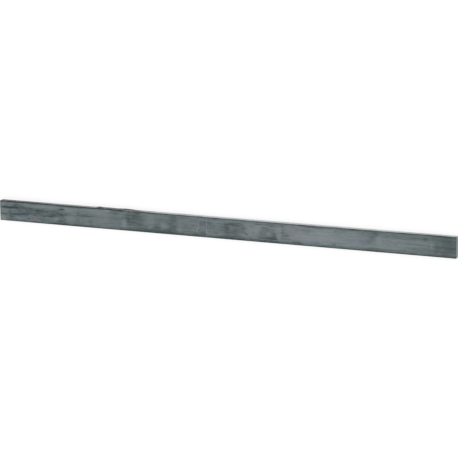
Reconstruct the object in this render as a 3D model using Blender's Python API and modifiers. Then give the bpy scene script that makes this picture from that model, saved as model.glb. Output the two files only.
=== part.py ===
"""Tin-plated copper busbar: one length of flat bar, lying on one of its broad faces.

The bar is drawn through a die, which leaves its four long edges rounded. It is sawn to length, a
file breaks the sharp rim of each cut, and then it is tin-plated all over, ends included.

X runs along the bar, Y across it and Z up through its thickness. The origin is at the middle of
the face that the bar lies on. Sizes are in metres.
"""

import math

import bpy

# Driving dimensions
LENGTH = 0.695
WIDTH = 0.030
THICKNESS = 0.010
EDGE_RADIUS = 0.0015  # of the four long edges
END_BREAK = 0.0004  # filed off the rim of each sawn end

# Facets round each long edge, and across each filed rim
EDGE_FACETS = 8
BREAK_FACETS = 3

# An edge that turns by more than this, in degrees, is a rim that the file breaks
RIM_ANGLE = 60.0

# Dull grey tin, as inputs of the shader
DULL_TIN = {
    "Base Color": (0.150, 0.180, 0.186, 1.0),
    "Roughness": 0.42,
    "Metallic": 0.9,
}


def clear_scene():
    for old in list(bpy.data.objects):
        bpy.data.objects.remove(old, do_unlink=True)


def new_collection(name):
    collection = bpy.data.collections.new(name)
    bpy.context.scene.collection.children.link(collection)
    return collection


def move_to(collection, obj):
    for holder in list(obj.users_collection):
        holder.objects.unlink(obj)
    collection.objects.link(obj)


def tin_plating():
    material = bpy.data.materials.new("dull_tin")
    material.use_nodes = True
    shader = material.node_tree.nodes["Principled BSDF"]
    for name, value in DULL_TIN.items():
        shader.inputs[name].default_value = value
    return material


def square_blank():
    """The bar as a sharp-edged block, standing on Z = 0 and centred on the other two axes."""
    bpy.ops.mesh.primitive_cube_add(size=1.0, location=(0.0, 0.0, THICKNESS / 2))
    blank = bpy.context.object
    blank.scale = (LENGTH, WIDTH, THICKNESS)
    bpy.ops.object.transform_apply(location=False, rotation=False, scale=True)
    return blank


def weigh_long_edges(mesh):
    """Marks the edges that run along X, so that one Bevel rounds them and no others."""
    weights = mesh.attributes.new("bevel_weight_edge", "FLOAT", "EDGE")
    for edge in mesh.edges:
        start, end = (mesh.vertices[i].co for i in edge.vertices)
        weights.data[edge.index].value = 1.0 if abs(end.x - start.x) > LENGTH / 2 else 0.0


def add_bevel(obj, name, width, facets, limit_method):
    bevel = obj.modifiers.new(name, "BEVEL")
    bevel.width = width
    bevel.segments = facets
    bevel.limit_method = limit_method
    bevel.harden_normals = True
    return bevel


def make_busbar():
    bar = square_blank()
    bar.name = "busbar"
    bar.data.name = "busbar"
    weigh_long_edges(bar.data)
    bar.data.shade_smooth()
    add_bevel(bar, "die radius", EDGE_RADIUS, EDGE_FACETS, "WEIGHT")
    rim = add_bevel(bar, "filed rim", END_BREAK, BREAK_FACETS, "ANGLE")
    rim.angle_limit = math.radians(RIM_ANGLE)
    bar.data.materials.append(tin_plating())
    return bar


def main():
    clear_scene()
    collection = new_collection("tinned_copper_busbar")
    move_to(collection, make_busbar())


main()
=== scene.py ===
"""Looks of the tin-plated copper busbar: dull, stained tin on a drawn flat bar with sawn ends.

X runs along the bar, Y across it and Z up. The bar lies on one broad face. The other broad face and
the narrow face at +Y are the two that the photograph shows. Lengths are in metres, and in
millimetres where a name ends in _MM.
"""

import math

import bpy
import numpy as np
from mathutils import Matrix, Vector


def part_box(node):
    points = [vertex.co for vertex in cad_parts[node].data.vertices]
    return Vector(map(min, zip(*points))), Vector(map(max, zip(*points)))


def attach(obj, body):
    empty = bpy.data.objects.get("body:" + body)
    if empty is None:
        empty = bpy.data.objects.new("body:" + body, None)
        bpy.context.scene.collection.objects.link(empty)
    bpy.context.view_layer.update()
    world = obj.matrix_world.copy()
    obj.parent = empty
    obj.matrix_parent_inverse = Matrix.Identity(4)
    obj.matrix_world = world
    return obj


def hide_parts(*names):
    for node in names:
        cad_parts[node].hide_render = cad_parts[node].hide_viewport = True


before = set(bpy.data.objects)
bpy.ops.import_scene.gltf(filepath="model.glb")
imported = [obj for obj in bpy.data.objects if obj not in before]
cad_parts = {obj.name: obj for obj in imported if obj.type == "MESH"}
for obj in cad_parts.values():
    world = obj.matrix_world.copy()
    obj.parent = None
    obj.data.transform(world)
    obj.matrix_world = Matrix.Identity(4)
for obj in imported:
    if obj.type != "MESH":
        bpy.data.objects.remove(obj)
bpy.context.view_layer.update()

NODE = "busbar"
MM = 0.001

# The bar's size, read from the frame
LOW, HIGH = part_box(NODE)
LENGTH, WIDTH, THICKNESS = HIGH - LOW
HALF_LENGTH = LENGTH / 2

# Edges of the real bar
DIE_RADIUS = 1.5 * MM
RIM_BREAK = 0.4 * MM

# Marks of the saw on both ends: ridges that bow, and a slower wave in which they fade, which bows the
# other way by a share of that and starts at an angle
SAW_DEPTH = 0.05 * MM
SAW_PITCH = 1.9 * MM
SAW_BOW = 0.4 * MM
SAW_FADE_PITCH = 5.3 * MM
SAW_FADE_BOW = 0.6
SAW_FADE_START = 1.1

# How finely the bar is meshed
STATION_STEP = 1.25 * MM
BROAD_STEPS = 40
NARROW_STEPS = 16
HALF_ARC_STEPS = 4
RIM_STEPS = 4

# The camera of the photograph, for the bar stood on its narrow face
IMAGE_PX = 458
FOCAL_PX = 1969.6
SENSOR_MM = 36.0
CAMERA_AZIMUTH = math.radians(22.14)
CAMERA_ELEVATION = math.radians(12.93)
CAMERA_ROLL = math.radians(-0.441)
CAMERA_DISTANCE = 2.78
CAMERA_TARGET = Vector((15.2, -0.8, 5.0)) * MM

# Marks on the broad face that shows, chosen from the photograph. Each is an oval: x, y, half
# length and half width in millimetres, lean in degrees and strength.
STAINS = (
    (-343, -4.6, 7, 0.9, 0, 0.70),
    (-337, 8.0, 2, 4, 0, 0.30),
    (-334, 5.6, 6, 1.4, 0, 0.40),
    (-333, 5.6, 14, 1.4, 0, 0.90),
    (-330, -1.0, 2.4, 10, 0, 0.30),
    (-328, -3.6, 8, 2.0, 0, 0.30),
    (-326, -8.0, 4, 3, 0, 0.35),
    (-322, 8.5, 3.5, 4, 0, 0.40),
    (-318, 7.4, 10, 3.0, 0, 0.50),
    (-314, -2.7, 11, 1.5, 5, 0.90),
    (-312, 1.5, 14, 3.5, 0, 0.25),
    (-308, -4.5, 10, 2.5, 10, 0.25),
    (-304, 7.0, 9, 2.6, -2, 0.50),
    (-300, -9.0, 2.4, 1.7, 0, 0.60),
    (-299, -1.2, 6, 1.1, 8, 0.75),
    (-291, -1.8, 5, 2.0, 5, 0.35),
    (-288, 1.8, 9, 3.0, 0, 0.60),
    (-288, 5.6, 7, 1.0, 3, 0.60),
    (-284, -0.2, 8, 1.1, 4, 0.70),
    (-279, -3.0, 7, 1.8, 0, 0.30),
    (-276, 3.6, 8, 4.4, 0, 0.30),
    (-275, -6.0, 5, 3.5, 0, 0.20),
    (-268, 3.2, 16, 3.0, 0, 0.40),
    (-262, -1.4, 9, 2.3, 0, 0.75),
    (-254, 1.6, 8, 2.4, 0, 0.25),
    (-250, 5.0, 10, 6.0, 0, 0.15),
    (-246, -9.5, 6, 4.5, 0, 0.45),
    (-246, -0.6, 6, 2.2, 3, 0.65),
    (-246, 8.4, 5, 1.6, 0, 0.50),
    (-236, 1.2, 6, 2.4, 0, 0.25),
    (-220, -6.5, 3, 4.5, 0, 0.30),
    (-219, 3.5, 2.2, 3.0, 0, 0.30),
    (-208, 2.0, 10, 1.3, 3, 0.35),
    (-202, 5.6, 8, 2.0, 0, 0.18),
    (-199, -7.0, 2.5, 5, 0, 0.30),
    (-192, 2.0, 14, 0.8, 0, 0.20),
    (-192, 5.4, 4, 0.8, 0, 0.20),
    (-165, 1.1, 14, 1.0, 1, 0.40),
    (-159, 10.0, 9, 3.2, 0, 0.38),
    (-139, 1.0, 3.5, 10, 10, 0.38),
    (-127, 3.5, 15, 14, 0, 0.48),
    (-112, -10, 17, 4, 0, 0.40),
    (-98, -11.5, 24, 3.0, 0, 0.45),
    (-94, -5.5, 7, 4, 0, 0.40),
    (-88, 4.5, 9, 5, 0, 0.30),
    (-80, -9.5, 16, 3.6, 0, 0.40),
    (-70, 1.0, 8, 17, 0, 0.45),
    (-56, 11.4, 5, 1.8, 0, 0.30),
    (-52, -2.0, 20, 14, 0, 0.15),
    (-42, -11, 18, 3, 0, 0.30),
    (-27, -6.5, 5, 3, 0, 0.20),
    (-24, 5.4, 6, 2.8, 0, 0.28),
    (-21, -9.0, 4, 4, 0, 0.45),
    (-15, 6.0, 7, 2.6, 0, 0.48),
    (-8, 0, 8, 9, 0, 0.14),
    (4, 0.5, 3, 3, 0, 0.15),
    (13.5, 1.5, 3, 6, 12, 0.42),
    (14, -6.5, 4, 3.5, 0, 0.20),
    (23, 1.5, 15, 12, 0, 0.42),
    (25, 8.6, 9, 1.2, 5, 0.42),
    (28, -11.6, 26, 2.6, 0, 0.42),
    (40, 2, 2, 5, 10, 0.25),
    (43.5, -5.2, 2.2, 0.9, -4, 0.40),
    (52, -3.0, 1.2, 1.4, 0, 0.25),
    (54, 7.4, 5, 2.2, 0, 0.25),
    (60.5, 10.4, 3, 0.9, 0, 0.30),
    (66, -9.5, 5, 3.0, 0, 0.36),
    (67, 1.0, 2, 4.5, -20, 0.26),
    (72, 10.0, 14, 1.2, -3, 0.40),
    (74, 5.6, 7, 1.6, -8, 0.35),
    (76, -3.5, 10, 8, 0, 0.16),
    (78, -9.0, 8, 2.4, 0, 0.55),
    (80.5, 9.0, 3.4, 0.8, 0, 0.30),
    (84, -12.6, 9, 2, 0, 0.35),
    (84, -8.0, 6, 3, 0, 0.30),
    (86, -5.5, 2.6, 4.5, 12, 0.42),
    (97.5, 9.0, 1.6, 3.0, 0, 0.25),
    (98, 1.6, 3, 2.0, 0, 0.28),
    (101, -3.0, 4.4, 0.8, 3, 0.45),
    (109, -2.0, 5, 0.6, 3, 0.20),
    (120, -11.4, 7, 1.8, 0, 0.70),
    (134, 5.5, 5, 1.6, 0, 0.20),
    (142, 12.4, 11, 0.9, 0, 0.60),
    (148, -9.8, 4, 1.6, 0, 0.25),
    (174, -10.5, 3, 2.4, 0, 0.25),
    (175, 10, 5, 0.7, -30, 0.20),
    (216, 4.0, 9, 9, 0, 0.20),
    (223.5, -0.8, 3, 3.4, 0, 0.30),
    (229, -12, 12, 2.6, 0, 0.55),
    (229, 6.5, 5.5, 6.0, 0, 0.42),
    (234, 9.8, 3.4, 3, 0, 0.50),
    (241, 8.8, 10, 4, 0, 0.25),
    (250, -12, 16, 1.4, 0, 0.30),
    (262.5, -1.8, 2.4, 1.4, 0, 0.25),
    (276, -9.0, 1.6, 1.0, 0, 0.20),
    (281, 9.8, 28, 3.0, 0, 0.35),
    (288, -7.2, 2.0, 0.8, 0, 0.20),
    (296, 0, 24, 9, 0, 0.10),
    (299.5, -9.0, 1.4, 1.0, 0, 0.25),
    (302, -8.5, 34, 5, 0, 0.10),
    (304, 9.2, 4, 2.4, 0, 0.50),
    (318, -10, 14, 5, 0, 0.25),
    (318, 10.5, 8, 3, 0, 0.30),
    (320.5, -3.0, 2.6, 6, 0, 0.25),
    (334, 0, 16, 18, 0, 0.60),
    (340, 8.0, 8, 5, 0, 0.12),
    (341, -2.0, 5, 10, 0, 0.20),
    # Painted shade along the edges, at -Y and then at +Y
    (0, -14.6, 420, 3.0, 0, 0.66),
    (-237, -13.5, 24, 1.3, 0, 0.85),
    (-30, -14.2, 80, 1.6, 0, 0.46),
    (28, -13.7, 17, 1.5, 0, 0.85),
    (66, -13.6, 5, 1.2, 0, 0.80),
    (0, 14.8, 420, 2.2, 0, 0.45),
    (-228, 14.0, 24, 1.3, 0, 0.90),
    (-149, 14.0, 5, 1.2, 0, 0.95),
    (-126, 13.2, 5, 1.0, 0, 0.50),
    (134, 14.2, 12, 1.4, 0, 0.40),
    (222, 14.0, 24, 1.4, 0, 0.50),
)
RUBBED_PATCHES = (
    (-345, -12.2, 7, 4.6, 0, 0.70),
    (-341, 10.2, 4, 1.4, 0, 0.30),
    (-340, 1.0, 6, 2.4, 0, 0.15),
    (-315, -8.8, 9, 2.2, 0, 0.32),
    (-306, 9.8, 8, 2.2, 0, 0.25),
    (-298, -11.6, 9, 2.0, 0, 0.20),
    (-270, 10.4, 24, 2.6, 1, 0.45),
    (-255, -6.0, 4.4, 2.8, 0, 0.35),
    (-234, 8.6, 11, 3.6, 0, 0.42),
    (-232, -5.0, 6, 5, 0, 0.20),
    (-229.5, -0.6, 0.9, 0.7, 0, 0.60),
    (-206, -2.0, 2, 1, 0, 0.25),
    (-205, 8.8, 12, 3.2, 0, 0.20),
    (-192, 12.2, 20, 1.6, 0, 0.22),
    (-190, -4.0, 14, 4, 0, 0.15),
    (-184, 8.0, 12, 5, 0, 0.24),
    (-172, 12.5, 4.5, 1.0, 0, 0.80),
    (-168, 0, 8, 6, 0, 0.12),
    (-152, 7.0, 3.4, 3.0, 10, 0.28),
    (-145.5, -3.8, 3.6, 4.8, 0, 0.42),
    (-140, 14.6, 6, 1.2, 0, 0.90),
    (-134, -6.5, 14, 3.0, 0, 0.14),
    (-110, -0.8, 9, 1.2, 3, 0.28),
    (-108, 6.0, 8, 5, 0, 0.15),
    (-104, -6.0, 5, 2.2, 20, 0.28),
    (-88, 1.3, 10, 0.6, 0, 0.25),
    (-83.5, -3.4, 5.4, 3.8, 0, 0.25),
    (-76, 12.4, 5, 1.4, 0, 0.15),
    (-59, -5.0, 4, 6, 0, 0.24),
    (-57, 4.6, 4, 0.5, 8, 0.25),
    (-57, 6.6, 4, 0.6, 8, 0.35),
    (-46, -10.4, 9, 1.8, 0, 0.18),
    (-36, 12.4, 5, 1.4, 0, 0.15),
    (-32, -3.0, 1.2, 5, 8, 0.20),
    (22, 12.2, 14, 1.2, 0, 0.42),
    (39, -7.0, 2.6, 1.4, 10, 0.30),
    (44, -10.0, 4, 2.6, 0, 0.25),
    (53, 2.0, 10, 8, 0, 0.20),
    (57, 1.0, 2, 5, 0, 0.18),
    (77, -2.6, 4, 2.4, 0, 0.20),
    (92, -7.0, 2.4, 1.4, -30, 0.25),
    (92, 1.5, 4, 7, 0, 0.24),
    (92, 7.0, 6, 3, 0, 0.20),
    (104, 4.0, 4, 2.4, 0, 0.20),
    (108, 9.0, 8, 4, 0, 0.18),
    (120, 0, 14, 8, 0, 0.22),
    (129, -7.2, 11, 2.6, 0, 0.22),
    (150, -1.0, 24, 8, 0, 0.24),
    (152.5, -6.0, 1.2, 1.0, 0, 0.30),
    (160, 7.0, 14, 4, 0, 0.15),
    (191, 1.0, 34, 8, 0, 0.28),
    (238, 0, 5, 7, 0, 0.28),
    (245, 4.4, 7, 0.7, 0, 0.25),
    (260, -4.0, 16, 5, 0, 0.18),
    (268, 4.8, 14, 0.6, 0, 0.15),
    (293, 5.2, 9, 0.7, 0, 0.25),
    (313, 1.0, 1.4, 5, 0, 0.25),
    (324, -9.8, 2.4, 2.2, 0, 0.24),
    (325, 3.6, 2.4, 2.2, 30, 0.18),
    (328, -4.2, 2.4, 1.8, 20, 0.16),
)

# Faint tints, as ovals on the same face
BLUE_CASTS = (
    (-331, 5.6, 17, 2.2, 0, 0.90),
    (-316, 1.0, 8, 3, 0, 0.60),
    (-310, -3.5, 16, 4, 4, 1.00),
    (-219, -7.0, 5, 5, 0, 0.60),
    (-150, -7.0, 16, 2.6, 0, 0.60),
    (-22, 3.5, 8, 6, 0, 0.80),
    (3, 8.0, 8, 6, 0, 0.60),
    (9, -2.0, 6, 6, 0, 0.60),
    (76, -12, 6, 1.4, 0, 0.90),
    (135, 5.0, 6, 3, 0, 0.60),
    (144, -7.0, 9, 2.0, 0, 0.50),
    (210, -3.5, 12, 5, 0, 0.90),
    (228, 6.0, 5, 5, 0, 0.60),
    (304, 8.6, 6, 3, 0, 0.90),
)
ROSY_CASTS = (
    (-338, -11, 9, 2.5, 0, 0.90),
    (-290, -9.5, 9, 4, 0, 1.00),
    (-268, 11, 12, 2.5, 0, 0.70),
    (-177, -1.0, 12, 4, 0, 0.70),
    (-130, -5.5, 8, 2.0, 0, 0.50),
    (-102, -1.0, 14, 1.4, 0, 0.60),
    (-50, 1.0, 14, 2.0, 2, 1.00),
    (-12, -2.0, 5, 4, 0, 0.50),
    (50, -12, 10, 1.5, 0, 0.60),
    (62, 12, 9, 1.5, 0, 0.50),
    (118, 1.0, 11, 8, 0, 0.90),
    (142, 12.5, 11, 1.4, 0, 0.80),
    (165, -4.0, 20, 2.6, 0, 0.60),
    (205, 2.5, 8, 2.0, 0, 0.50),
    (260, 4.5, 9, 3.0, 0, 0.70),
)
GREEN_CASTS = (
    (-240, -9.0, 12, 4, 0, 0.50),
    (-230, 0, 130, 40, 0, 0.30),
    (-150, 9.0, 12, 3, 0, 0.50),
    (-112, 8.0, 8, 4, 0, 0.50),
    (-110, -10, 18, 4, 0, 0.70),
    (-76, -4.0, 10, 9, 0, 0.40),
    (-36, -9.0, 8, 4, 0, 1.00),
    (-10, 8.5, 8, 3, 0, 0.70),
    (28, 11, 10, 3, 0, 0.90),
    (165, 7.0, 16, 3, 0, 0.30),
    (178, -9.5, 22, 3.0, 0, 0.70),
    (222, 10, 14, 3, 0, 0.40),
    (250, 10, 13, 3.5, 0, 0.90),
    (325, 9, 20, 5, 0, 0.90),
)


def bands(*parts, y=0, half_width=40):
    """Ovals in a row along the bar, each given by its x, half length and strength. At the usual half
    width they reach right across a face."""
    return tuple((x, y, half_length, half_width, 0, strength) for x, half_length, strength in parts)


# Where the tin is more blotched than elsewhere and, with a strength below 0, where it is less
BLOTCHED_PARTS = bands(
    (-300, 62, 0.85),
    (-190, 50, 0.30),
    (-20, 45, 0.15),
    (75, 40, 0.30),
    (165, 58, 0.22),
    (328, 22, -0.50),
)

# Layers of marks that only the broad faces have, by the names that the materials read
BROAD_MARKS = {
    "rubbed": RUBBED_PATCHES,
    "blue": BLUE_CASTS,
    "rosy": ROSY_CASTS,
    "green": GREEN_CASTS,
    "blotched": BLOTCHED_PARTS,
}

# Stain on the narrow face that shows: bands over its whole height, and ovals with the height over
# its middle in place of y
NARROW_STAINS = (
    *bands(
        (-330, 34, 0.90),
        (-290, 24, 0.75),
        (-230, 116, 0.60),
        (-186, 4, 0.95),
        (-177, 7, 0.45),
        (-165, 15, 0.75),
        (-152, 8, 0.45),
        (-122, 6, 0.50),
        (-108, 7, 0.25),
        (-50, 9, 0.20),
        (30, 12, 0.10),
        (228, 9, 0.20),
        (312, 34, 0.35),
    ),
    (-226, 4.4, 27, 1.8, 0, 0.85),
    (-141, -2.4, 11.5, 3.2, 0, 0.97),
    (-56, -3.0, 9, 3.0, 0, 0.35),
    (-28, 4.2, 4, 1.8, 0, 0.55),
    (140, 4.2, 5, 1.8, 0, 0.25),
    (176, 4.2, 7, 1.8, 0, 0.40),
    (260, 4.2, 13, 1.8, 0, 0.20),
    (262, 4.2, 76, 1.8, 0, 0.24),
)

# Where the bruise is dark, as ovals on the narrow face in the same way
DARK_BRUISES = (
    (-188, -2.8, 4.5, 4.2, 0, 0.90),
    (-181, 0.5, 5, 6, 0, 0.80),
    (-171, -4.0, 15, 2.4, 0, 0.75),
    (-155, -4.4, 3, 1.8, 0, 0.80),
    (-141, -1.6, 9, 4.4, 0, 0.90),
    (-130, -0.6, 6, 6.0, 0, 0.80),
)

# Where the painted shade in the rounded edges is darkest, at +Y and then at -Y, and where it is palest
EDGE_MM = WIDTH / 2 / MM
EDGE_BAND_MM = 6
DARKEST_EDGES = (
    *bands(
        (-305, 45, 0.60),
        (-245, 25, 0.80),
        (-215, 24, 1.00),
        (-184, 5, 1.00),
        (-164, 14, 1.00),
        (-80, 3, 0.70),
        (-64, 7, 0.60),
        (-4, 4, 0.60),
        (126, 5, 0.80),
        (200, 5, 0.90),
        (276, 7, 0.80),
        (330, 26, 1.00),
        y=EDGE_MM,
        half_width=EDGE_BAND_MM,
    ),
    *bands(
        (-220, 34, 1.00),
        (-88, 34, 1.00),
        (50, 34, 0.90),
        (126, 8, 1.00),
        (232, 12, 0.90),
        (318, 30, 1.00),
        y=-EDGE_MM,
        half_width=EDGE_BAND_MM,
    ),
)
PALEST_EDGES = bands(
    (-178, 4, 0.60),
    (-140, 9, 0.90),
    (-34, 8, 0.25),
    (154, 5, 0.25),
    (179, 8, 0.15),
    (254, 16, 0.20),
    y=EDGE_MM,
    half_width=EDGE_BAND_MM,
)

# The bruised stretch at +Y. A knock flattened the near edge: x, half length and depth. It also drove
# up a lip along the far edge, in swells: x, spread along the bar and how far it stands out. Its middle
# is at one height over the underside, and it has one spread up the thickness.
KNOCK_MM = (-142.0, 14.0, 0.30)
LIP_SWELLS_MM = (
    (-187.8, 3.6, 0.68),
    (-171.0, 14.0, 0.36),
    (-155.0, 2.5, 0.30),
    (-147.0, 6.0, 0.70),
    (-137.5, 6.0, 0.45),
)
LIP_HEIGHT_MM = 1.3
LIP_SPREAD_MM = 1.5

# Lines on the broad face that shows: x and y of both ends and width in millimetres, strength
DARK_FLECKS_MM = (
    ((-250.6, 9.1), (-239.8, 8.8), 2.5, 1.00),
    ((-141.4, 13.3), (-135.4, 13.2), 2.0, 0.90),
    ((41.4, -5.0), (45.6, -5.3), 1.3, 0.75),
    ((57.4, 10.5), (63.6, 10.4), 1.3, 0.40),
    ((77.4, 9.2), (84.0, 8.9), 1.2, 0.25),
)
BRIGHT_SCRATCHES_MM = (
    ((-28.8, 13.0), (-29.3, 4.0), 0.40, 0.40),
    ((-29.2, 5.8), (-29.9, 0.4), 0.65, 1.00),
    ((-29.9, 1.0), (-31.2, -5.6), 0.50, 0.60),
    ((-16.6, 13.5), (-17.0, -2.6), 0.45, 0.60),
    ((-16.9, -1.6), (-17.4, -11.0), 0.60, 0.75),
)

# How steeply an oval falls off at its rim
OVAL_FALL = 3

# Where the painted shade in a rounded edge starts and stops, how much further it reaches where it is
# darkest, and where the crest of the edge is worn, in degrees turned from the broad face. Each pair is
# where a step begins and ends.
EDGE_START = (0, 24)
EDGE_STOP = (30, 60)
NARROW_START = (76, 90)
DARKEST_REACH = 22
CREST = 45
CREST_SPREAD = 16

# How strong the marks are, as shares of 1. The first four set the painted shade in the rounded edges.
EDGE_SHARE = 0.72
DARKEST_EXTRA = 0.28
PALEST_LOSS = 0.55
UNDERSIDE_SHARE = 0.6
HIDDEN_STAIN = 0.5
# Painted light on the hidden narrow face
HIDDEN_BRIGHT = 0.85
BRUISE_GAIN = 1.4

# Painted shade: the dark line just short of the sawn end at +X
END_LINE_SHARE = 0.6
END_LINE_INSET = 0.9 * MM
END_LINE_SPREAD = 0.6 * MM


def paint(red, green, blue):
    """A colour given as it looks on a screen, from 0 to 255, as the linear colour of a shader, by the
    sRGB curve."""
    shares = np.array((red, green, blue)) / 255
    linear = np.where(shares <= 0.04045, shares / 12.92, ((shares + 0.055) / 1.055) ** 2.4)
    return (*linear.tolist(), 1.0)


def grey(share):
    """A neutral colour that gives back this share of the light."""
    return (share, share, share, 1.0)


# Colours of the tin. The casts are tints that the colour is multiplied by.
CLEAN_TIN = paint(110, 119, 121)
STAINED_TIN = paint(43, 59, 60)
RUBBED_TIN = paint(131, 139, 142)
# Painted light: the lighter colour of the narrow faces, which the bright scratches share
LIT_FACE_AND_SCRATCH_TIN = paint(170, 177, 181)
CUT_TIN = paint(127, 139, 149)
# Painted shade: the dark colour of the rounded edges and of the line at the sawn end, which pits, dark
# flecks and the bruise share
EDGE_SHADE_AND_DARK_STAIN = paint(20, 27, 28)
CASTS = {
    "blue": (0.97, 0.97, 1.10, 1.0),
    "rosy": (1.08, 0.98, 1.05, 1.0),
    "green": (0.92, 1.02, 0.97, 1.0),
}

# Patterns in the drawn faces and in the sawn ends: their kind, length and breadth in millimetres
DRAWN_PATTERNS_MM = {
    "die lines": ("lines", 60, 0.35),
    "ridges": ("lines", 120, 0.9),
    "streaks": ("bloom", 70, 1.8),
    "wide clouds": ("bloom", 55, 14),
    "fine clouds": ("bloom", 12, 2.4),
    "mottle": ("bloom", 4.8, 1.5),
    "grit": ("bloom", 0.9, 0.5),
}
SAWN_PATTERNS_MM = {
    "saw lines": ("lines", 20, 0.18),
    "coarse lines": ("lines", 40, 0.8),
    "clouds": ("bloom", 8, 3),
    "grit": ("bloom", 1.2, 0.4),
}

# Pits: the spacing of the points they are drawn by lot at, and the largest one's radius
DRAWN_PITS_MM = (5, 0.4)
SAWN_PITS_MM = (1.8, 0.25)

# Handling scratches: angle to the bar in degrees and length, and the breadth that all have
HAIRLINES = ((8, 22), (-62, 12), (27, 16))
HAIRLINE_BREADTH_MM = 0.13

# The film of stain on the drawn faces: how strong it is without a stain and in one, and how far each
# pattern sways it, in calm tin and in blotched tin
FILM = (0.24, 0.94)
FILM_SWAYS = {
    "wide clouds": (0.14, 0.14),
    "streaks": (0.18, 0.18),
    "fine clouds": (0.14, 0.36),
    "mottle": (0.17, 0.37),
    "grit": (0.26, 0.26),
    "ridges": (0.10, 0.10),
    "die lines": (0.38, 0.38),
}

# The film on the sawn ends is a sum of patterns, less a loss that leaves most of it clean
SAWN_FILM_SHARES = {"clouds": 0.22, "coarse lines": 0.26, "saw lines": 0.22, "grit": 0.14}
SAWN_FILM_LOSS = 0.14

# What frays the rims of the marks, and how far: stains and rubbed patches in calm and blotched tin,
# the painted light on the narrow face and the painted shade in the edges
RIM_SHARES = {"fine clouds": 0.6, "grit": 0.4}
MARK_BITE = (0.20, 0.55)
BRIGHT_BITE = 0.45
EDGE_BITE = 0.60

# How strong the painted shade in the edges is beside the streaks and in them, and the streaks and
# grit in which the crests of the edges are worn bright
EDGE_STREAKS = (0.75, 1.05)
WORN_STREAKS = (0.75, 0.95)
WORN_GRIT = (0.2, 0.8)

# How strongly the smallest marks show in the colour
PIT_SHARE = 0.7
SAWN_PIT_SHARE = 0.6
HAIRLINE_SHARE = 0.40

# The finish without a film of stain and under a full one
ROUGHNESS = (0.30, 0.52)
METALLIC = (0.95, 0.70)
COAT = (0.72, 0.17)
COAT_LOSS_AT_EDGES = 0.8
COAT_ROUGHNESS = 0.35
DIE_LINE_ROUGHNESS = 0.08
HAIRLINE_SMOOTHNESS = 0.08
SAWN_ROUGHNESS = (0.30, 0.50)
SAWN_METALLIC = 0.9

# Relief: how much each pattern raises the surface, then the bump's strength and depth
DRAWN_RELIEF = {
    "die lines": 0.34,
    "ridges": 0.35,
    "grit": 0.16,
    "fine clouds": 0.25,
    "pits": -0.8,
    "hairlines": -0.25,
    "scratches": -0.6,
}
DRAWN_BUMP = (0.8, 0.06 * MM)
SAWN_RELIEF = {"saw lines": 0.5, "coarse lines": 0.9, "grit": 0.2, "pits": -0.6}
SAWN_BUMP = (0.9, 0.08 * MM)

# The studio. The floor's own grey takes the bar's shadow, and its glow makes it white to the eye. As
# light, the sky goes from the low strength to the high one between two heights.
FLOOR_GREY = 0.36
FLOOR_GLOW = 0.71
FLOOR_REACH = 30.0
SKY_HEIGHTS = (-0.1, 0.8)
SKY_STRENGTHS = (0.45, 0.95)

# Square lamps: place, the point each faces, width and radiance. The key hangs where the broad face
# mirrors it to the camera, right of the bar's middle.
LAMPS = {
    "key": ((-0.33, -0.34, 1.39), (0.155, 0, 0), 0.7, 0.45),
    "fill": ((0.9, 1.4, 1.6), (0, 0, 0), 1.2, 0.4),
}


# Falls and waves that the shapes and the marks share


def bell(value, middle, spread):
    """1 at the middle, falling off on both sides as a normal distribution does."""
    return np.exp(-(((value - middle) / spread) ** 2))


def eased(value, low, high):
    """0 up to the low limit and 1 from the high limit on, with a smooth step between them."""
    share = np.clip((value - low) / (high - low), 0, 1)
    return share * share * (3 - 2 * share)


def wave(value, pitch, start=0.0):
    """A sine wave from 0 to 1, with its start given as an angle."""
    return 0.5 + 0.5 * np.sin(2 * math.pi * value / pitch + start)


# Shape of the bar


def section_side(half_run, reach, flat_steps):
    """One side of the section, from the middle of one rounded corner to the middle of the next.

    The core point slides along the flat, and the unit normal turns through half a right angle over
    each half corner. The outline is the core point plus the radius times the normal.
    """
    turn = math.pi / 4
    before = np.linspace(-turn, 0, HALF_ARC_STEPS + 1)[:-1]
    angle = np.concatenate((before, np.zeros(flat_steps + 1), -before[::-1]))
    straight = half_run - DIE_RADIUS
    ends = np.full(HALF_ARC_STEPS, straight)
    run = np.concatenate((-ends, np.linspace(-straight, straight, flat_steps + 1), ends))
    core = np.stack((run, np.full_like(run, reach - DIE_RADIUS)), axis=1)
    normal = np.stack((np.sin(angle), np.cos(angle)), axis=1)
    return core, normal


def section():
    """Core points and normals round the section in Y and Z: underside, +Y, top, -Y, each turned
    from the side before it by a right angle. Z is measured from the middle of the thickness."""
    sides = (
        section_side(WIDTH / 2, THICKNESS / 2, BROAD_STEPS),
        section_side(THICKNESS / 2, WIDTH / 2, NARROW_STEPS),
    )
    turns = (
        (sides[0], np.array(((1, 0), (0, -1)))),
        (sides[1], np.array(((0, 1), (1, 0)))),
        (sides[0], np.array(((-1, 0), (0, 1)))),
        (sides[1], np.array(((0, -1), (-1, 0)))),
    )
    core = np.concatenate([side[0][:-1] @ turn for side, turn in turns])
    normal = np.concatenate([side[1][:-1] @ turn for side, turn in turns])
    return core, normal


def stations():
    """Places along the bar and how far the section is drawn in there: evenly spaced, with a quarter
    circle at each filed rim."""
    straight = HALF_LENGTH - RIM_BREAK
    even = np.linspace(-straight, straight, round(2 * straight / STATION_STEP) + 1)[1:-1]
    rim = np.linspace(0, math.pi / 2, RIM_STEPS + 1)
    past = RIM_BREAK * np.sin(rim)
    drawn_in = RIM_BREAK * (1 - np.cos(rim))
    along = np.concatenate((-straight - past[::-1], even, straight + past))
    inset = np.concatenate((drawn_in[::-1], np.zeros_like(even), drawn_in))
    return along, inset


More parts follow.
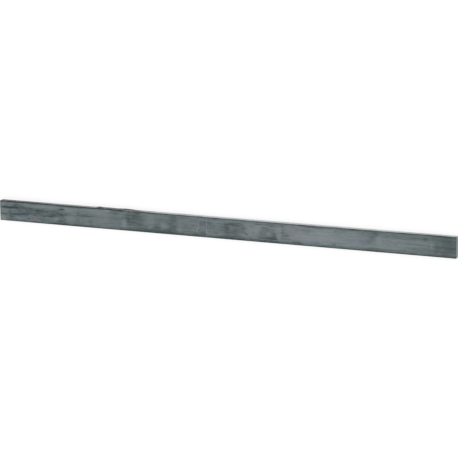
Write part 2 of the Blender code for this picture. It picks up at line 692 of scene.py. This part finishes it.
def knock(surface, x, half, depth):
    """Flattens the near edge: what stands past a slanted plane is pressed back onto it. The plane is
    square to the corner's diagonal, and sinks in a parabola over the knock's length."""
    diagonal = np.array((1, 1)) / math.sqrt(2)
    corner = np.array((WIDTH / 2 - DIE_RADIUS, THICKNESS / 2 - DIE_RADIUS))
    crown = corner @ diagonal + DIE_RADIUS
    share = np.clip(1 - ((surface[..., 0] / MM - x) / half) ** 2, 0, None)
    over = np.clip(surface[..., 1:] @ diagonal - crown + depth * MM * share, 0, None)
    surface[..., 1:] -= over[..., None] * diagonal


def lip(x, y, height):
    """How far the bruised lip stands out in +Y. Each swell is its height times a bell along the bar.
    Their sum is times a bell up the thickness, with its middle low on the narrow face, and falls to
    nothing across the rounded edge."""
    swells = sum(high * MM * bell(x / MM, middle, spread) for middle, spread, high in LIP_SWELLS_MM)
    up = bell((height + THICKNESS / 2) / MM, LIP_HEIGHT_MM, LIP_SPREAD_MM)
    return swells * up * eased(y, WIDTH / 2 - DIE_RADIUS, WIDTH / 2)


def saw_ripple(y, z):
    """Depth of the saw's marks on a cut face: ridges along Y that bow in a parabola, times a slower
    wave, bowed a little the other way, in which they fade and come back."""
    bow = SAW_BOW * (y / (WIDTH / 2)) ** 2
    ridges = wave(z + bow, SAW_PITCH)
    return SAW_DEPTH * ridges * wave(z - SAW_FADE_BOW * bow, SAW_FADE_PITCH, SAW_FADE_START)


def cap_grid(ring):
    """Fills a closed ring with a grid: opposite sides of the ring are blended and the blend of its
    four corners is taken off. Returns the grid's points and the ring's place of each edge point."""
    across = BROAD_STEPS + 2 * HALF_ARC_STEPS
    up = NARROW_STEPS + 2 * HALF_ARC_STEPS
    count = len(ring)
    place = np.full((up + 1, across + 1), -1)
    place[0, :] = np.arange(across + 1)
    place[:, across] = across + np.arange(up + 1)
    place[up, ::-1] = across + up + np.arange(across + 1)
    place[::-1, 0] = (2 * across + up + np.arange(up + 1)) % count
    u = np.linspace(0, 1, across + 1)[None, :, None]
    v = np.linspace(0, 1, up + 1)[:, None, None]
    low, high = ring[place[0]][None], ring[place[up]][None]
    left, right = ring[place[:, 0]][:, None], ring[place[:, across]][:, None]
    corners = (1 - u) * ((1 - v) * low[:, :1] + v * high[:, :1])
    corners = corners + u * ((1 - v) * low[:, -1:] + v * high[:, -1:])
    grid = (1 - v) * low + v * high + (1 - u) * left + u * right - corners
    return grid, place


def quads(index):
    """The four corners of every cell of a grid of vertex numbers, in turn round the cell."""
    cells = (index[:-1, :-1], index[:-1, 1:], index[1:, 1:], index[1:, :-1])
    return np.stack(cells, axis=-1).reshape(-1, 4)


def bar_surface():
    """The drawn surface as a grid: one row for each station, one column for each section point."""
    core, normal = section()
    along, inset = stations()
    surface = np.empty((len(along), len(core), 3))
    surface[..., 0] = along[:, None]
    surface[..., 1:] = core[None] + (DIE_RADIUS - inset)[:, None, None] * normal[None]
    knock(surface, *KNOCK_MM)
    surface[..., 1] += lip(surface[..., 0], surface[..., 1], surface[..., 2])
    return surface, normal


def sawn_cap(ring, index, way, start):
    """One sawn end, which faces the way of X that is given. Returns its inner points, numbered from
    the start on, and its faces, which share the points of the ring."""
    grid, place = cap_grid(ring)
    inner = grid[1:-1, 1:-1].reshape(-1, 3)
    inner[:, 0] -= way * saw_ripple(inner[:, 1], inner[:, 2])
    number = np.where(place < 0, 0, index[place])
    number[1:-1, 1:-1] = start + np.arange(len(inner)).reshape(number[1:-1, 1:-1].shape)
    return inner, quads(number)[:, ::way]


def bar_mesh():
    """The closed bar, with the drawn faces on material 0 and both sawn ends on material 1. Returns
    its points and the section's normal at each, which is nothing on the sawn ends."""
    surface, normal = bar_surface()
    rows, columns = surface.shape[:2]
    index = np.arange(rows * columns).reshape(rows, columns)
    tube = quads(np.concatenate((index, index[:, :1]), axis=1))
    parts = [surface.reshape(-1, 3)]
    faces = [tube]
    for row, way in ((0, -1), (rows - 1, 1)):
        start = sum(len(part) for part in parts)
        inner, cap = sawn_cap(surface[row], index[row], way, start)
        parts.append(inner)
        faces.append(cap)
    points = np.concatenate(parts)
    points[:, 2] += THICKNESS / 2
    mesh = bpy.data.meshes.new("tinned_bar")
    mesh.from_pydata(points, [], np.concatenate(faces))
    cut = np.zeros(len(mesh.polygons), dtype=np.int32)
    cut[len(tube):] = 1
    mesh.polygons.foreach_set("material_index", cut)
    mesh.shade_smooth()
    outward = np.zeros((len(points), 2))
    outward[: rows * columns] = np.broadcast_to(normal, (rows, columns, 2)).reshape(-1, 2)
    return mesh, points, outward


# Where the marks lie, worked out at every vertex


def covered(marks, x, y):
    """How much of each point the marks cover. A mark is its strength times a bell that falls to
    half on its oval rim, and marks that overlap build up towards 1."""
    bare = np.ones_like(x)
    for centre_x, centre_y, half_x, half_y, lean, strength in marks:
        angle = math.radians(lean)
        right = x / MM - centre_x
        up = y / MM - centre_y
        along = (right * math.cos(angle) + up * math.sin(angle)) / half_x
        across = (up * math.cos(angle) - right * math.sin(angle)) / half_y
        bare *= 1 - strength * 0.5 ** (np.hypot(along, across) ** OVAL_FALL)
    return 1 - bare


def on_every_face(points, outward, marks, narrow=0, hidden=0):
    """Gives each face its own marks, blended over the rounded edges by the square of the normal.
    The underside takes the marks of the broad face that shows, turned end for end."""
    x, y = points[:, 0], points[:, 1]
    top = np.clip(outward[:, 1], 0, None) ** 2 * covered(marks, x, y)
    under = np.clip(-outward[:, 1], 0, None) ** 2 * covered(marks, -x, -y)
    back = np.clip(outward[:, 0], 0, None) ** 2 * narrow
    front = np.clip(-outward[:, 0], 0, None) ** 2 * hidden
    return top + under + back + front


def turned_from_broad(outward):
    """How many degrees the drawn surface has turned from the broad face."""
    return np.degrees(np.arctan2(np.abs(outward[:, 0]), np.abs(outward[:, 1])))


def edge_shade_and_bruise(points, outward):
    """Painted shade in the rounded edges, and in a line just short of the sawn end at +X.

    It starts where the broad face ends. On the -Y side it reaches the narrow face. On the +Y side it
    stops before that, except where the narrow face is stained as well. Where it is darkest it also
    reaches further round, and the underside's edges have less of it. The dark patches of the bruise
    lie over it, at full strength wherever the surface leans well towards +Y.
    """
    x, y = points[:, 0], points[:, 1]
    height = points[:, 2] - THICKNESS / 2
    turned = turned_from_broad(outward)
    darkest = covered(DARKEST_EDGES, x, y)
    palest = covered(PALEST_EDGES, x, y)
    to_narrow = 1 - eased(turned, *NARROW_START)
    part_way = 1 - eased(turned - DARKEST_REACH * darkest, *EDGE_STOP)
    as_narrow = covered(NARROW_STAINS, x, height) * to_narrow
    reach = np.where(y < 0, to_narrow, np.maximum(part_way, as_narrow))
    side = np.where(outward[:, 1] > 0, 1.0, UNDERSIDE_SHARE)
    strength = EDGE_SHARE + DARKEST_EXTRA * darkest - PALEST_LOSS * palest
    edge = side * strength * eased(turned, *EDGE_START) * reach
    end_line = END_LINE_SHARE * bell(HALF_LENGTH - x, END_LINE_INSET, END_LINE_SPREAD)
    bruised = np.clip(BRUISE_GAIN * outward[:, 0], 0, 1) * covered(DARK_BRUISES, x, height)
    return np.clip(np.maximum(edge + end_line, bruised), 0, 1)


def add_marks(mesh, points, outward):
    """Writes each layer of marks into the mesh, as values that the materials read.

    The narrow face that shows is painted lighter, as painted light, where it isn't stained. The hidden
    one has a little less of that painted light all over, and has the same stain turned end for end, but
    less of it.
    """
    x = points[:, 0]
    height = points[:, 2] - THICKNESS / 2
    dark = covered(NARROW_STAINS, x, height)
    hidden_dark = HIDDEN_STAIN * covered(NARROW_STAINS, -x, height)
    layers = {name: on_every_face(points, outward, marks) for name, marks in BROAD_MARKS.items()}
    layers["stain"] = on_every_face(points, outward, STAINS, dark, hidden_dark)
    # Painted light: both narrow faces are made lighter, less so where they are stained
    layers["narrow_face_light"] = on_every_face(points, outward, (), 1 - dark, HIDDEN_BRIGHT - hidden_dark)
    # Painted shade in the rounded edges and at the sawn end, with the bruise
    layers["edge_shade_and_bruise"] = edge_shade_and_bruise(points, outward)
    layers["arris"] = bell(turned_from_broad(outward), CREST, CREST_SPREAD)
    for name, values in layers.items():
        layer = mesh.attributes.new(name, "FLOAT", "POINT")
        layer.data.foreach_set("value", values.astype(np.float32))


# Nodes


class Tree:
    """Adds nodes to a node tree. An input is given as a value or as the socket to link it to."""

    def __init__(self, tree):
        self.tree = tree

    def feed(self, socket, value):
        """Links the value to the socket if it is one, or sets it there."""
        if isinstance(value, bpy.types.NodeSocket):
            self.tree.links.new(value, socket)
        else:
            socket.default_value = value

    def add(self, kind, inputs=(), **settings):
        node = self.tree.nodes.new(kind)
        for name, value in settings.items():
            setattr(node, name, value)
        for key, value in dict(inputs).items():
            self.feed(node.inputs[key], value)
        return node

    def placed(self, group, inputs):
        """A group with its own values, and its one output."""
        return self.add("ShaderNodeGroup", inputs, node_tree=group).outputs[0]

    def maths(self, operation, first, second=0.0, third=0.0, clamp=False):
        inputs = {0: first, 1: second, 2: third}
        return self.add("ShaderNodeMath", inputs, operation=operation, use_clamp=clamp).outputs[0]

    def vector(self, operation, first, second=(0, 0, 0)):
        node = self.add("ShaderNodeVectorMath", {0: first, 1: second}, operation=operation)
        return node.outputs["Value" if operation in ("LENGTH", "DOT_PRODUCT") else "Vector"]

    def along(self, value, start, end, clamp=False):
        """The number that lies between start and end as the value lies between 0 and 1."""
        return self.maths("MULTIPLY_ADD", value, end - start, start, clamp)

    def between(self, value, low, high, to_low=0.0, to_high=1.0):
        """The value's place between two limits, eased at both ends and clamped."""
        inputs = {"Value": value, "From Min": low, "From Max": high}
        inputs.update({"To Min": to_low, "To Max": to_high})
        node = self.add("ShaderNodeMapRange", inputs, interpolation_type="SMOOTHSTEP")
        return node.outputs["Result"]

    def sway(self, value, noise, weight):
        """The value, moved up or down by a noise from 0 to 1 with its middle at a half."""
        return self.maths("MULTIPLY_ADD", self.maths("SUBTRACT", noise, 0.5), weight, value)

    def summed(self, patterns, shares):
        """The sum of the patterns that have a share, each times its share."""
        total = 0.0
        for name, share in shares.items():
            total = self.maths("MULTIPLY_ADD", patterns[name], share, total)
        return total

    def blend(self, share, first, second, blend_type="MIX"):
        """The first colour, with this share of the second one in it."""
        node = self.add("ShaderNodeMix", data_type="RGBA", blend_type=blend_type)
        sockets = {socket.name: socket for socket in node.inputs if socket.enabled}
        for key, value in {"Factor": share, "A": first, "B": second}.items():
            self.feed(sockets[key], value)
        return next(socket for socket in node.outputs if socket.enabled)

    def noise(self, place, detail, roughness, distortion=0.0):
        inputs = {"Vector": place, "Scale": 1.0, "Detail": detail}
        inputs.update({"Roughness": roughness, "Distortion": distortion})
        return self.add("ShaderNodeTexNoise", inputs).outputs["Fac"]

    def turned(self, place, angle):
        """The place turned about Z."""
        inputs = {"Vector": place, "Angle": angle}
        return self.add("ShaderNodeVectorRotate", inputs, rotation_type="Z_AXIS").outputs[0]

    def stretched(self, place, length, breadth):
        """The place divided by one length along X and by another across it."""
        step = self.add("ShaderNodeCombineXYZ", {"X": length, "Y": breadth, "Z": breadth}).outputs[0]
        return self.vector("DIVIDE", place, step)

    def marked(self, name):
        """A layer of marks, read from the mesh."""
        return self.add("ShaderNodeAttribute", attribute_name=name).outputs["Fac"]


def new_group(name, inputs, output):
    """An empty shader node group: its tree, its named inputs and the one output to feed."""
    group = bpy.data.node_groups.new(name, "ShaderNodeTree")
    for socket, kind in inputs.items():
        group.interface.new_socket(socket, in_out="INPUT", socket_type="NodeSocket" + kind)
    group.interface.new_socket(output, in_out="OUTPUT", socket_type="NodeSocketFloat")
    tree = Tree(group)
    return tree, tree.add("NodeGroupInput").outputs, tree.add("NodeGroupOutput").inputs[output]


def drawn_lines():
    """Fine lines that run along X: noise stretched to the length along X and the breadth across it."""
    inputs = {"Place": "Vector", "Length": "Float", "Breadth": "Float"}
    tree, given, out = new_group("drawn lines", inputs, "Height")
    place = tree.stretched(given["Place"], given["Length"], given["Breadth"])
    lines = tree.noise(place, detail=5.0, roughness=0.7)
    tree.feed(out, tree.between(lines, low=0.25, high=0.75))
    return tree.tree


def tin_bloom():
    """Cloudy patches of dulled tin: noise stretched along X, then pushed apart into dark and light."""
    inputs = {"Place": "Vector", "Length": "Float", "Breadth": "Float"}
    tree, given, out = new_group("tin bloom", inputs, "Mask")
    place = tree.stretched(given["Place"], given["Length"], given["Breadth"])
    cloud = tree.noise(place, detail=6.0, roughness=0.6, distortion=0.5)
    tree.feed(out, tree.between(cloud, low=0.3, high=0.7))
    return tree.tree


def specks():
    """Small round specks: distance to the nearest scattered point, against a size drawn by lot
    from that point's own colour, so that most points have none."""
    inputs = {"Place": "Vector", "Spacing": "Float", "Size": "Float"}
    tree, given, out = new_group("specks", inputs, "Mask")
    place = tree.stretched(given["Place"], given["Spacing"], given["Spacing"])
    points = tree.add("ShaderNodeTexVoronoi", {"Vector": place, "Scale": 1.0})
    lot = tree.add("ShaderNodeSeparateColor", {"Color": points.outputs["Color"]}).outputs["Red"]
    radius = tree.maths("MULTIPLY", tree.between(lot, low=0.55, high=1.0), given["Size"])
    radius = tree.maths("DIVIDE", radius, given["Spacing"])
    depth = tree.maths("SUBTRACT", radius, points.outputs["Distance"])
    share = tree.maths("DIVIDE", depth, tree.maths("MAXIMUM", radius, 0.001))
    tree.feed(out, tree.between(share, low=0.0, high=0.6))
    return tree.tree


def ragged():
    """Frays the rim of a soft mask: where the mask is near a half, noise pushes it up or down. The
    push is 4 times the mask times what it lacks of 1, which makes it the whole bite at a half."""
    inputs = {"Mask": "Float", "Noise": "Float", "Bite": "Float"}
    tree, given, out = new_group("ragged rim", inputs, "Mask")
    middle = tree.maths("MULTIPLY", given["Mask"], tree.maths("SUBTRACT", 1.0, given["Mask"]))
    push = tree.maths("MULTIPLY", tree.maths("SUBTRACT", given["Noise"], 0.5), given["Bite"])
    push = tree.maths("MULTIPLY", push, 4.0)
    tree.feed(out, tree.maths("MULTIPLY_ADD", middle, push, given["Mask"], clamp=True))
    return tree.tree


def hairlines():
    """Thin handling scratches at one angle to X: crests of long thin noise, kept only where a wider
    noise is high, so that they come in groups."""
    inputs = {"Place": "Vector", "Angle": "Float", "Length": "Float", "Breadth": "Float"}
    tree, given, out = new_group("hairlines", inputs, "Mask")
    place = tree.turned(given["Place"], given["Angle"])
    thin = tree.stretched(place, given["Length"], given["Breadth"])
    round_patch = tree.stretched(place, given["Length"], given["Length"])
    crest = tree.between(tree.noise(thin, detail=2.0, roughness=0.6), low=0.64, high=0.68)
    group = tree.between(tree.noise(round_patch, detail=1.0, roughness=0.5), low=0.42, high=0.58)
    tree.feed(out, tree.maths("MULTIPLY", crest, group))
    return tree.tree


def scratch():
    """One scratch: 1 on the line from Start to End, falling to 0 at half its width, and fading
    towards both ends with the square of the distance from its middle."""
    inputs = {"Place": "Vector", "Start": "Vector", "End": "Vector", "Width": "Float"}
    tree, given, out = new_group("scratch", inputs, "Mask")
    line = tree.vector("SUBTRACT", given["End"], given["Start"])
    reach = tree.vector("SUBTRACT", given["Place"], given["Start"])
    run = tree.vector("DOT_PRODUCT", reach, line)
    share = tree.maths("DIVIDE", run, tree.vector("DOT_PRODUCT", line, line), clamp=True)
    foot = tree.add("ShaderNodeVectorMath", {0: line, "Scale": share}, operation="SCALE").outputs[0]
    distance = tree.vector("LENGTH", tree.vector("SUBTRACT", reach, foot))
    half = tree.maths("MULTIPLY", given["Width"], 0.5)
    body = tree.between(tree.maths("DIVIDE", distance, half), low=1.0, high=0.2)
    off_middle = tree.along(share, -1.0, 1.0)
    fade = tree.maths("SUBTRACT", 1.0, tree.maths("MULTIPLY", off_middle, off_middle))
    tree.feed(out, tree.maths("MULTIPLY", body, fade))
    return tree.tree


# Materials


def new_material(name):
    """A material with its tree, and the object's own coordinates in it."""
    material = bpy.data.materials.new(name)
    material.use_nodes = True
    tree = Tree(material.node_tree)
    return material, tree, tree.add("ShaderNodeTexCoord").outputs["Object"]


def patterned(tree, groups, place, sizes):
    """The patterns of one finish, by name, each with values from 0 to 1."""
    patterns = {}
    for name, (kind, length, breadth) in sizes.items():
        inputs = {"Place": place, "Length": length * MM, "Breadth": breadth * MM}
        patterns[name] = tree.placed(groups[kind], inputs)
    return patterns


def pitted(tree, groups, place, pits):
    """The pits of one finish, as a mask."""
    spacing, size = pits
    inputs = {"Place": place, "Spacing": spacing * MM, "Size": size * MM}
    return tree.placed(groups["specks"], inputs)


def handling_scratches(tree, groups, place):
    """A set of hairlines at each angle, as one mask."""
    mask = 0.0
    for angle, length in HAIRLINES:
        inputs = {"Place": place, "Angle": math.radians(angle), "Length": length * MM}
        inputs["Breadth"] = HAIRLINE_BREADTH_MM * MM
        mask = tree.maths("MAXIMUM", mask, tree.placed(groups["hairlines"], inputs))
    return mask


def lines_on_top(tree, groups, place, lines):
    """Lines drawn on the broad face that shows, as one mask."""
    mask = 0.0
    for start, end, width, strength in lines:
        start, end = [(x * MM, y * MM, THICKNESS) for x, y in (start, end)]
        inputs = {"Place": place, "Start": start, "End": end, "Width": width * MM}
        one = tree.maths("MULTIPLY", tree.placed(groups["scratch"], inputs), strength)
        mask = tree.maths("MAXIMUM", mask, one)
    return mask


def frayed_marks(tree, groups, patterns, blotched):
    """The layers of marks that have ragged rims, by name."""
    rim = tree.summed(patterns, RIM_SHARES)
    bite = tree.along(blotched, *MARK_BITE)
    bites = {"stain": bite, "rubbed": bite, "narrow_face_light": BRIGHT_BITE, "edge_shade_and_bruise": EDGE_BITE}
    marks = {}
    for name, amount in bites.items():
        inputs = {"Mask": tree.marked(name), "Noise": rim, "Bite": amount}
        marks[name] = tree.placed(groups["ragged"], inputs)
    return marks


def stain_film(tree, stain, patterns, blotched):
    """The film of stain, from 0 where the tin is clean: the stains and painted shade by the edges,
    swayed by the patterns.
    """
    film = tree.along(stain, *FILM)
    for name, weights in FILM_SWAYS.items():
        film = tree.sway(film, patterns[name], tree.along(blotched, *weights))
    return tree.maths("MAXIMUM", film, 0.0)


def drawn_colour(tree, film, marks, edge, patterns, flecks):
    """The colour of the drawn faces: each mark is laid over the ones before it."""
    colour = tree.blend(film, CLEAN_TIN, STAINED_TIN)
    colour = tree.blend(marks["rubbed"], colour, RUBBED_TIN)
    # Painted light on the narrow faces
    colour = tree.blend(marks["narrow_face_light"], colour, LIT_FACE_AND_SCRATCH_TIN)
    for name, cast in CASTS.items():
        colour = tree.blend(tree.marked(name), colour, cast, "MULTIPLY")
    # Painted shade in the rounded edges and at the sawn end, and the dark bruise
    colour = tree.blend(edge, colour, EDGE_SHADE_AND_DARK_STAIN)
    worn = tree.maths("MULTIPLY", tree.marked("arris"), tree.between(patterns["streaks"], *WORN_STREAKS))
    worn = tree.maths("MULTIPLY", worn, tree.between(patterns["grit"], *WORN_GRIT))
    colour = tree.blend(worn, colour, RUBBED_TIN)
    colour = tree.blend(tree.maths("MULTIPLY", patterns["pits"], PIT_SHARE), colour, EDGE_SHADE_AND_DARK_STAIN)
    hair = tree.maths("MULTIPLY", patterns["hairlines"], HAIRLINE_SHARE)
    colour = tree.blend(hair, colour, RUBBED_TIN)
    colour = tree.blend(flecks, colour, EDGE_SHADE_AND_DARK_STAIN)
    return tree.blend(patterns["scratches"], colour, LIT_FACE_AND_SCRATCH_TIN)


def relief(tree, patterns, shares, bump):
    """The normal of a surface raised by each pattern times its share."""
    strength, depth = bump
    inputs = {"Height": tree.summed(patterns, shares), "Strength": strength, "Distance": depth}
    return tree.add("ShaderNodeBump", inputs).outputs[0]


def finish_shader(material, tree, inputs):
    """Gives the material's shader its inputs, as sockets or as values."""
    for name, value in inputs.items():
        tree.feed(material.node_tree.nodes["Principled BSDF"].inputs[name], value)


def drawn_tin(groups):
    """Dull tin on the drawn faces. A film of stain sets colour, roughness, metallic and coat. The
    patterns are in the film and in the relief."""
    material, tree, place = new_material("drawn_tin")
    patterns = patterned(tree, groups, place, DRAWN_PATTERNS_MM)
    patterns["pits"] = pitted(tree, groups, place, DRAWN_PITS_MM)
    patterns["hairlines"] = handling_scratches(tree, groups, place)
    patterns["scratches"] = lines_on_top(tree, groups, place, BRIGHT_SCRATCHES_MM)
    flecks = lines_on_top(tree, groups, place, DARK_FLECKS_MM)
    blotched = tree.marked("blotched")
    marks = frayed_marks(tree, groups, patterns, blotched)
    film = stain_film(tree, marks["stain"], patterns, blotched)
    # Painted shade in the edges, stronger in the streaks
    edge = tree.maths("MULTIPLY", marks["edge_shade_and_bruise"], tree.along(patterns["streaks"], *EDGE_STREAKS))
    edge = tree.maths("MINIMUM", edge, 1.0)

    roughness = tree.along(film, *ROUGHNESS)
    roughness = tree.sway(roughness, patterns["die lines"], DIE_LINE_ROUGHNESS)
    roughness = tree.maths("MULTIPLY_ADD", patterns["hairlines"], -HAIRLINE_SMOOTHNESS, roughness)
    coat = tree.along(film, *COAT, clamp=True)
    coat = tree.maths("MULTIPLY", coat, tree.along(edge, 1.0, 1.0 - COAT_LOSS_AT_EDGES))
    inputs = {
        "Base Color": drawn_colour(tree, film, marks, edge, patterns, flecks),
        "Roughness": roughness,
        "Metallic": tree.along(film, *METALLIC),
        "Coat Weight": coat,
        "Coat Roughness": COAT_ROUGHNESS,
        "Normal": relief(tree, patterns, DRAWN_RELIEF, DRAWN_BUMP),
    }
    finish_shader(material, tree, inputs)
    return material


def sawn_tin(groups):
    """Tin on the sawn ends: lighter, with the saw's lines along Y and dark specks between them."""
    material, tree, place = new_material("sawn_tin")
    sideways = tree.turned(place, math.radians(90))
    patterns = patterned(tree, groups, sideways, SAWN_PATTERNS_MM)
    patterns["pits"] = pitted(tree, groups, place, SAWN_PITS_MM)
    film = tree.maths("SUBTRACT", tree.summed(patterns, SAWN_FILM_SHARES), SAWN_FILM_LOSS, clamp=True)
    colour = tree.blend(film, CUT_TIN, STAINED_TIN)
    colour = tree.blend(tree.maths("MULTIPLY", patterns["pits"], SAWN_PIT_SHARE), colour, EDGE_SHADE_AND_DARK_STAIN)
    inputs = {
        "Base Color": colour,
        "Roughness": tree.along(film, *SAWN_ROUGHNESS),
        "Metallic": SAWN_METALLIC,
        "Normal": relief(tree, patterns, SAWN_RELIEF, SAWN_BUMP),
    }
    finish_shader(material, tree, inputs)
    return material


def make_bar():
    """The bar as one piece, with both finishes."""
    mesh, points, outward = bar_mesh()
    add_marks(mesh, points, outward)
    groups = {
        "lines": drawn_lines(),
        "bloom": tin_bloom(),
        "specks": specks(),
        "ragged": ragged(),
        "hairlines": hairlines(),
        "scratch": scratch(),
    }
    mesh.materials.append(drawn_tin(groups))
    mesh.materials.append(sawn_tin(groups))
    bar = bpy.data.objects.new("tinned_bar", mesh)
    bpy.context.scene.collection.objects.link(bar)
    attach(bar, "root")
    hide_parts(NODE)


# Floor, light and camera


def seen_directly(tree):
    """1 for what the camera sees straight, in a reflection or through glass, and 0 for the rest."""
    path = tree.add("ShaderNodeLightPath").outputs
    seen = tree.maths("MAXIMUM", path["Is Camera Ray"], path["Is Glossy Ray"])
    return tree.maths("MAXIMUM", seen, path["Is Transmission Ray"])


def make_floor():
    """A white floor that stays white to the eye but still takes the bar's shadow."""
    material = bpy.data.materials.new("white_floor")
    material.use_nodes = True
    tree = Tree(material.node_tree)
    tree.tree.nodes.remove(tree.tree.nodes["Principled BSDF"])
    matt = tree.add("ShaderNodeBsdfDiffuse", {"Color": grey(FLOOR_GREY)})
    shine = tree.maths("MULTIPLY", seen_directly(tree), FLOOR_GLOW)
    glow = tree.add("ShaderNodeEmission", {"Color": grey(1.0), "Strength": shine})
    both = tree.add("ShaderNodeAddShader", {0: matt.outputs[0], 1: glow.outputs[0]})
    tree.feed(tree.tree.nodes["Material Output"].inputs["Surface"], both.outputs[0])
    signs = ((-1, -1), (1, -1), (1, 1), (-1, 1))
    corners = [(x * FLOOR_REACH, y * FLOOR_REACH, LOW.z) for x, y in signs]
    mesh = bpy.data.meshes.new("floor")
    mesh.from_pydata(corners, [], [(0, 1, 2, 3)])
    mesh.materials.append(material)
    floor = bpy.data.objects.new("floor", mesh)
    bpy.context.scene.collection.objects.link(floor)


def make_world():
    """White to the camera. As light, it is brighter overhead than at the horizon."""
    world = bpy.data.worlds.new("studio")
    world.use_nodes = True
    bpy.context.scene.world = world
    tree = Tree(world.node_tree)
    place = tree.add("ShaderNodeTexCoord").outputs["Generated"]
    rise = tree.add("ShaderNodeSeparateXYZ", {0: place}).outputs["Z"]
    sky = tree.between(rise, *SKY_HEIGHTS, *SKY_STRENGTHS)
    camera = tree.add("ShaderNodeLightPath").outputs["Is Camera Ray"]
    background = tree.tree.nodes["Background"].inputs
    tree.feed(background["Strength"], tree.maths("MAXIMUM", sky, camera))
    tree.feed(background["Color"], grey(1.0))


def make_lamps():
    """Each lamp's power is its radiance times pi times its area."""
    for name, (place, aim, width, radiance) in LAMPS.items():
        light = bpy.data.lights.new(name, "AREA")
        light.size = width
        light.energy = radiance * math.pi * width**2
        lamp = bpy.data.objects.new(name, light)
        facing = (Vector(aim) - Vector(place)).to_track_quat("-Z", "Y")
        lamp.matrix_world = Matrix.Translation(place) @ facing.to_matrix().to_4x4()
        bpy.context.scene.collection.objects.link(lamp)


def make_camera():
    """Looks at the bar as the photograph does. The azimuth and elevation are those of the bar stood
    on its narrow face. Laid down, what was up is +Y, and what faced the camera is +Z."""
    turn, rise = CAMERA_AZIMUTH, CAMERA_ELEVATION
    back = Vector((math.sin(turn) * math.cos(rise), math.sin(rise), math.cos(turn) * math.cos(rise)))
    right = Vector((math.cos(turn), 0, -math.sin(turn)))
    basis = Matrix((right, back.cross(right), back)).transposed().to_4x4()
    data = bpy.data.cameras.new("camera")
    data.sensor_width = SENSOR_MM
    data.lens = FOCAL_PX * SENSOR_MM / IMAGE_PX
    camera = bpy.data.objects.new("camera", data)
    place = Matrix.Translation(CAMERA_TARGET + back * CAMERA_DISTANCE)
    camera.matrix_world = place @ basis @ Matrix.Rotation(CAMERA_ROLL, 4, "Z")
    bpy.context.scene.collection.objects.link(camera)
    bpy.context.scene.camera = camera


make_bar()
make_floor()
make_world()
make_lamps()
make_camera()
bpy.context.scene.view_settings.view_transform = "Standard"
